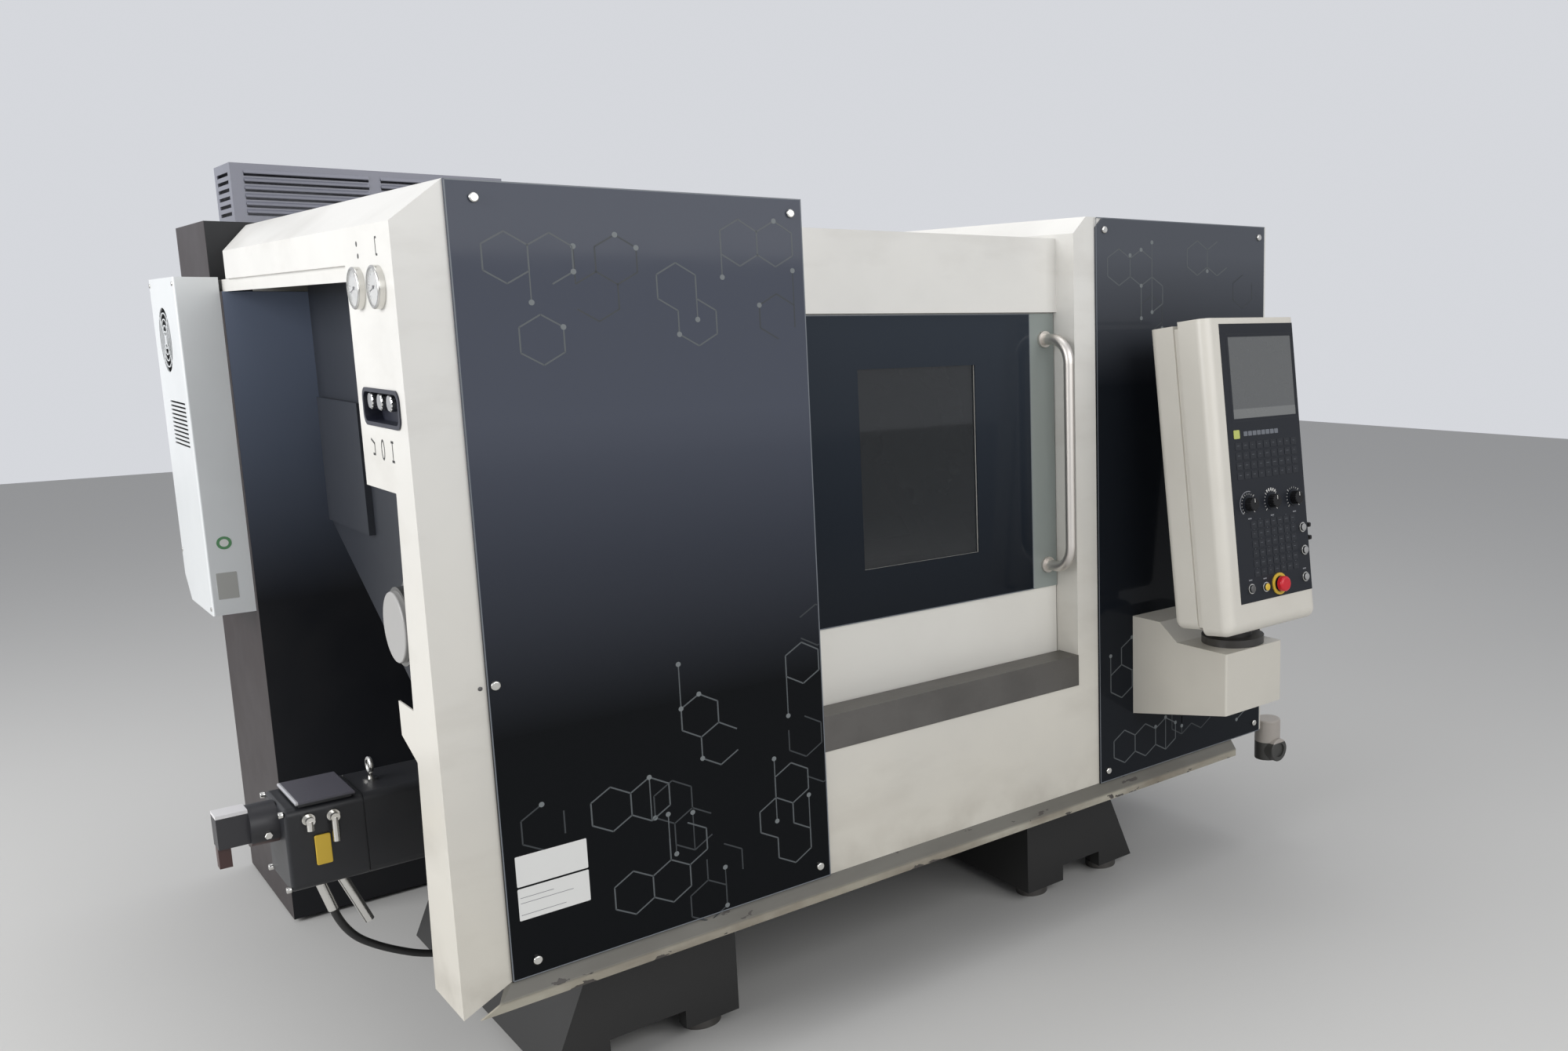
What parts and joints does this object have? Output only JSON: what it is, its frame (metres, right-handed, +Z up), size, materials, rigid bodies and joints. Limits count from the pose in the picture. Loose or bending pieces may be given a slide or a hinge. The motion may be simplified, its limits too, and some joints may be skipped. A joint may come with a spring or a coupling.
{
  "type": "cnc lathe",
  "caption": "Slant-bed CNC turning centre with white covers, black glass panels, a sliding windowed door, a swivelling control pendant and an open left side over its belt-driven spindle motor.",
  "frame": {"origin": "centre of the machine's footprint on the floor", "axes": "+X along the spindle from headstock to tailstock, +Y from the front of the covers to the rear, +Z up"},
  "size_m": [2.693, 2.4846, 2.045],
  "materials": {
    "cover_paint": "satin warm white enamel, worn and dirty on the front ledge",
    "cabinet_paint": "satin black enamel",
    "black_glass": "glossy black back-painted glass with a light hexagon pattern",
    "clear_glass": "clear laminated safety glass",
    "bright_metal": "polished",
    "steel": "ground and brushed",
    "casting": "dark grey painted casting with bare ways",
    "motor_paint": "black enamel",
    "black_plastic": "matt black",
    "red_plastic": "glossy red",
    "rubber": "black rubber"
  },
  "bodies": {
    "machine": {"bed_casting": "casting", "belt_guard": "cabinet_paint", "cabinet_body": "cabinet_paint", "chip_pan": "cover_paint", "coolant_filter": "black_plastic", "cooling_housing": "cover_paint", "door_header": "cover_paint", "door_sill": "steel", "door_track": "steel", "drive_belts": "rubber", "front_ledge": "cover_paint", "headstock": "casting", "left_black_panel": "black_glass", "left_front_panel": "cover_paint", "left_roof": "cover_paint", "levelling_feet": "steel", "louvre_box": "cabinet_paint", "motor_encoder": "motor_paint", "motor_fittings": "bright_metal", "motor_hose": "rubber", "panel_caps": "bright_metal", "pendant_arm": "cover_paint", "pressure_gauges": "bright_metal", "rear_cover": "cover_paint", "regulator_pocket": "black_plastic", "right_black_panel": "black_glass", "right_cover": "cover_paint", "right_front_panel": "cover_paint", "side_column": "cover_paint", "spindle_motor": "motor_paint", "work_area_liner": "cover_paint"},
    "door": {"door_panel": "cover_paint", "door_glass": "black_glass", "door_window": "clear_glass", "door_handle": "steel"},
    "pendant": {"pendant_housing": "cover_paint", "control_panel": "black_plastic"},
    "estop": {"estop_button": "red_plastic"},
    "spindle_body": {"spindle": "steel", "spindle_pulley": "steel", "hydraulic_cylinder": "steel", "chuck_body": "steel"},
    "jaw_1": {"chuck_jaw_1": "steel"},
    "jaw_2": {"chuck_jaw_2": "steel"},
    "jaw_3": {"chuck_jaw_3": "steel"},
    "motor_wheel": {"motor_pulley": "steel"},
    "carriage": {"saddle": "casting"},
    "cross_slide": {"turret_slide": "casting"},
    "turret": {"turret_disc": "steel"},
    "tail": {"tailstock": "casting"},
    "quill": {"tailstock_quill": "steel"},
    "centre": {"live_centre": "steel"},
    "rear_door": {"cabinet_door": "cabinet_paint"},
    "fan": {"cooling_fan": "black_plastic"},
    "dial_1": {"override_dial_1": "black_plastic"},
    "regulator_1": {"regulator_knob_1": "bright_metal"},
    "dial_2": {"override_dial_2": "black_plastic"},
    "regulator_2": {"regulator_knob_2": "bright_metal"},
    "dial_3": {"override_dial_3": "black_plastic"},
    "regulator_3": {"regulator_knob_3": "bright_metal"}
  },
  "joints": [
    {"name": "door_slide", "type": "slide", "parent": "machine", "child": "door", "axis": [-1, 0, 0], "range_m": [0, 0.7]},
    {"name": "pendant_swivel", "type": "hinge", "parent": "machine", "child": "pendant", "pos_m": [0.8275, -1.07772, 0.771], "axis": [0, 0, 1], "range_deg": [-75, 75]},
    {"name": "estop_press", "type": "slide", "parent": "pendant", "child": "estop", "axis": [0, 0.993, -0.1184], "range_m": [0, 0.006]},
    {"name": "override_turn_1", "type": "hinge", "parent": "pendant", "child": "dial_1", "pos_m": [0.7595, -1.19116, 1.16008], "axis": [0, -0.993, 0.1184], "range_deg": [-135, 135]},
    {"name": "override_turn_2", "type": "hinge", "parent": "pendant", "child": "dial_2", "pos_m": [0.8485, -1.19116, 1.16008], "axis": [0, -0.993, 0.1184], "range_deg": [-135, 135]},
    {"name": "override_turn_3", "type": "hinge", "parent": "pendant", "child": "dial_3", "pos_m": [0.9385, -1.19116, 1.16008], "axis": [0, -0.993, 0.1184], "range_deg": [-135, 135]},
    {"name": "regulator_turn_1", "type": "hinge", "parent": "machine", "child": "regulator_1", "pos_m": [-1.0438, -0.70672, 1.489], "axis": [-1, 0, 0], "range_deg": [-150, 150]},
    {"name": "regulator_turn_2", "type": "hinge", "parent": "machine", "child": "regulator_2", "pos_m": [-1.0438, -0.64572, 1.489], "axis": [-1, 0, 0], "range_deg": [-150, 150]},
    {"name": "regulator_turn_3", "type": "hinge", "parent": "machine", "child": "regulator_3", "pos_m": [-1.0438, -0.58472, 1.489], "axis": [-1, 0, 0], "range_deg": [-150, 150]},
    {"name": "spindle_spin", "type": "hinge", "parent": "machine", "child": "spindle_body", "pos_m": [-0.3385, -0.41272, 1.012], "axis": [1, 0, 0], "continuous": true},
    {"name": "motor_spin", "type": "hinge", "parent": "machine", "child": "motor_wheel", "pos_m": [-0.7935, -0.24372, 0.56], "axis": [1, 0, 0], "continuous": true},
    {"name": "jaw_slide_1", "type": "slide", "parent": "spindle_body", "child": "jaw_1", "axis": [0, 0, -1], "range_m": [0, 0.006]},
    {"name": "jaw_slide_2", "type": "slide", "parent": "spindle_body", "child": "jaw_2", "axis": [0, 0.866, 0.5], "range_m": [0, 0.006]},
    {"name": "jaw_slide_3", "type": "slide", "parent": "spindle_body", "child": "jaw_3", "axis": [0, -0.866, 0.5], "range_m": [0, 0.006]},
    {"name": "carriage_slide", "type": "slide", "parent": "machine", "child": "carriage", "axis": [-1, 0, 0], "range_m": [0, 0.56]},
    {"name": "cross_slide", "type": "slide", "parent": "carriage", "child": "cross_slide", "axis": [0, -0.7071, -0.7071], "range_m": [0, 0.185]},
    {"name": "turret_index", "type": "hinge", "parent": "cross_slide", "child": "turret", "pos_m": [0.5515, -0.11574, 1.30899], "axis": [1, 0, 0], "continuous": true},
    {"name": "tailstock_slide", "type": "slide", "parent": "machine", "child": "tail", "axis": [-1, 0, 0], "range_m": [0, 0.35]},
    {"name": "quill_slide", "type": "slide", "parent": "tail", "child": "quill", "axis": [-1, 0, 0], "range_m": [0, 0.1]},
    {"name": "centre_spin", "type": "hinge", "parent": "quill", "child": "centre", "pos_m": [0.6415, -0.41272, 1.012], "axis": [1, 0, 0], "continuous": true},
    {"name": "rear_door_hinge", "type": "hinge", "parent": "machine", "child": "rear_door", "pos_m": [-0.2755, 1.22628, 0.95], "axis": [0, 0, -1], "range_deg": [0, 110]},
    {"name": "fan_spin", "type": "hinge", "parent": "machine", "child": "fan", "pos_m": [-1.1185, 0.90228, 1.588], "axis": [1, 0, 0], "continuous": true}
  ],
  "couplings": [
    {"joint": "motor_spin", "follows": "spindle_spin", "ratio": 1.375},
    {"joint": "jaw_slide_2", "follows": "jaw_slide_1", "ratio": 1},
    {"joint": "jaw_slide_3", "follows": "jaw_slide_1", "ratio": 1}
  ]
}
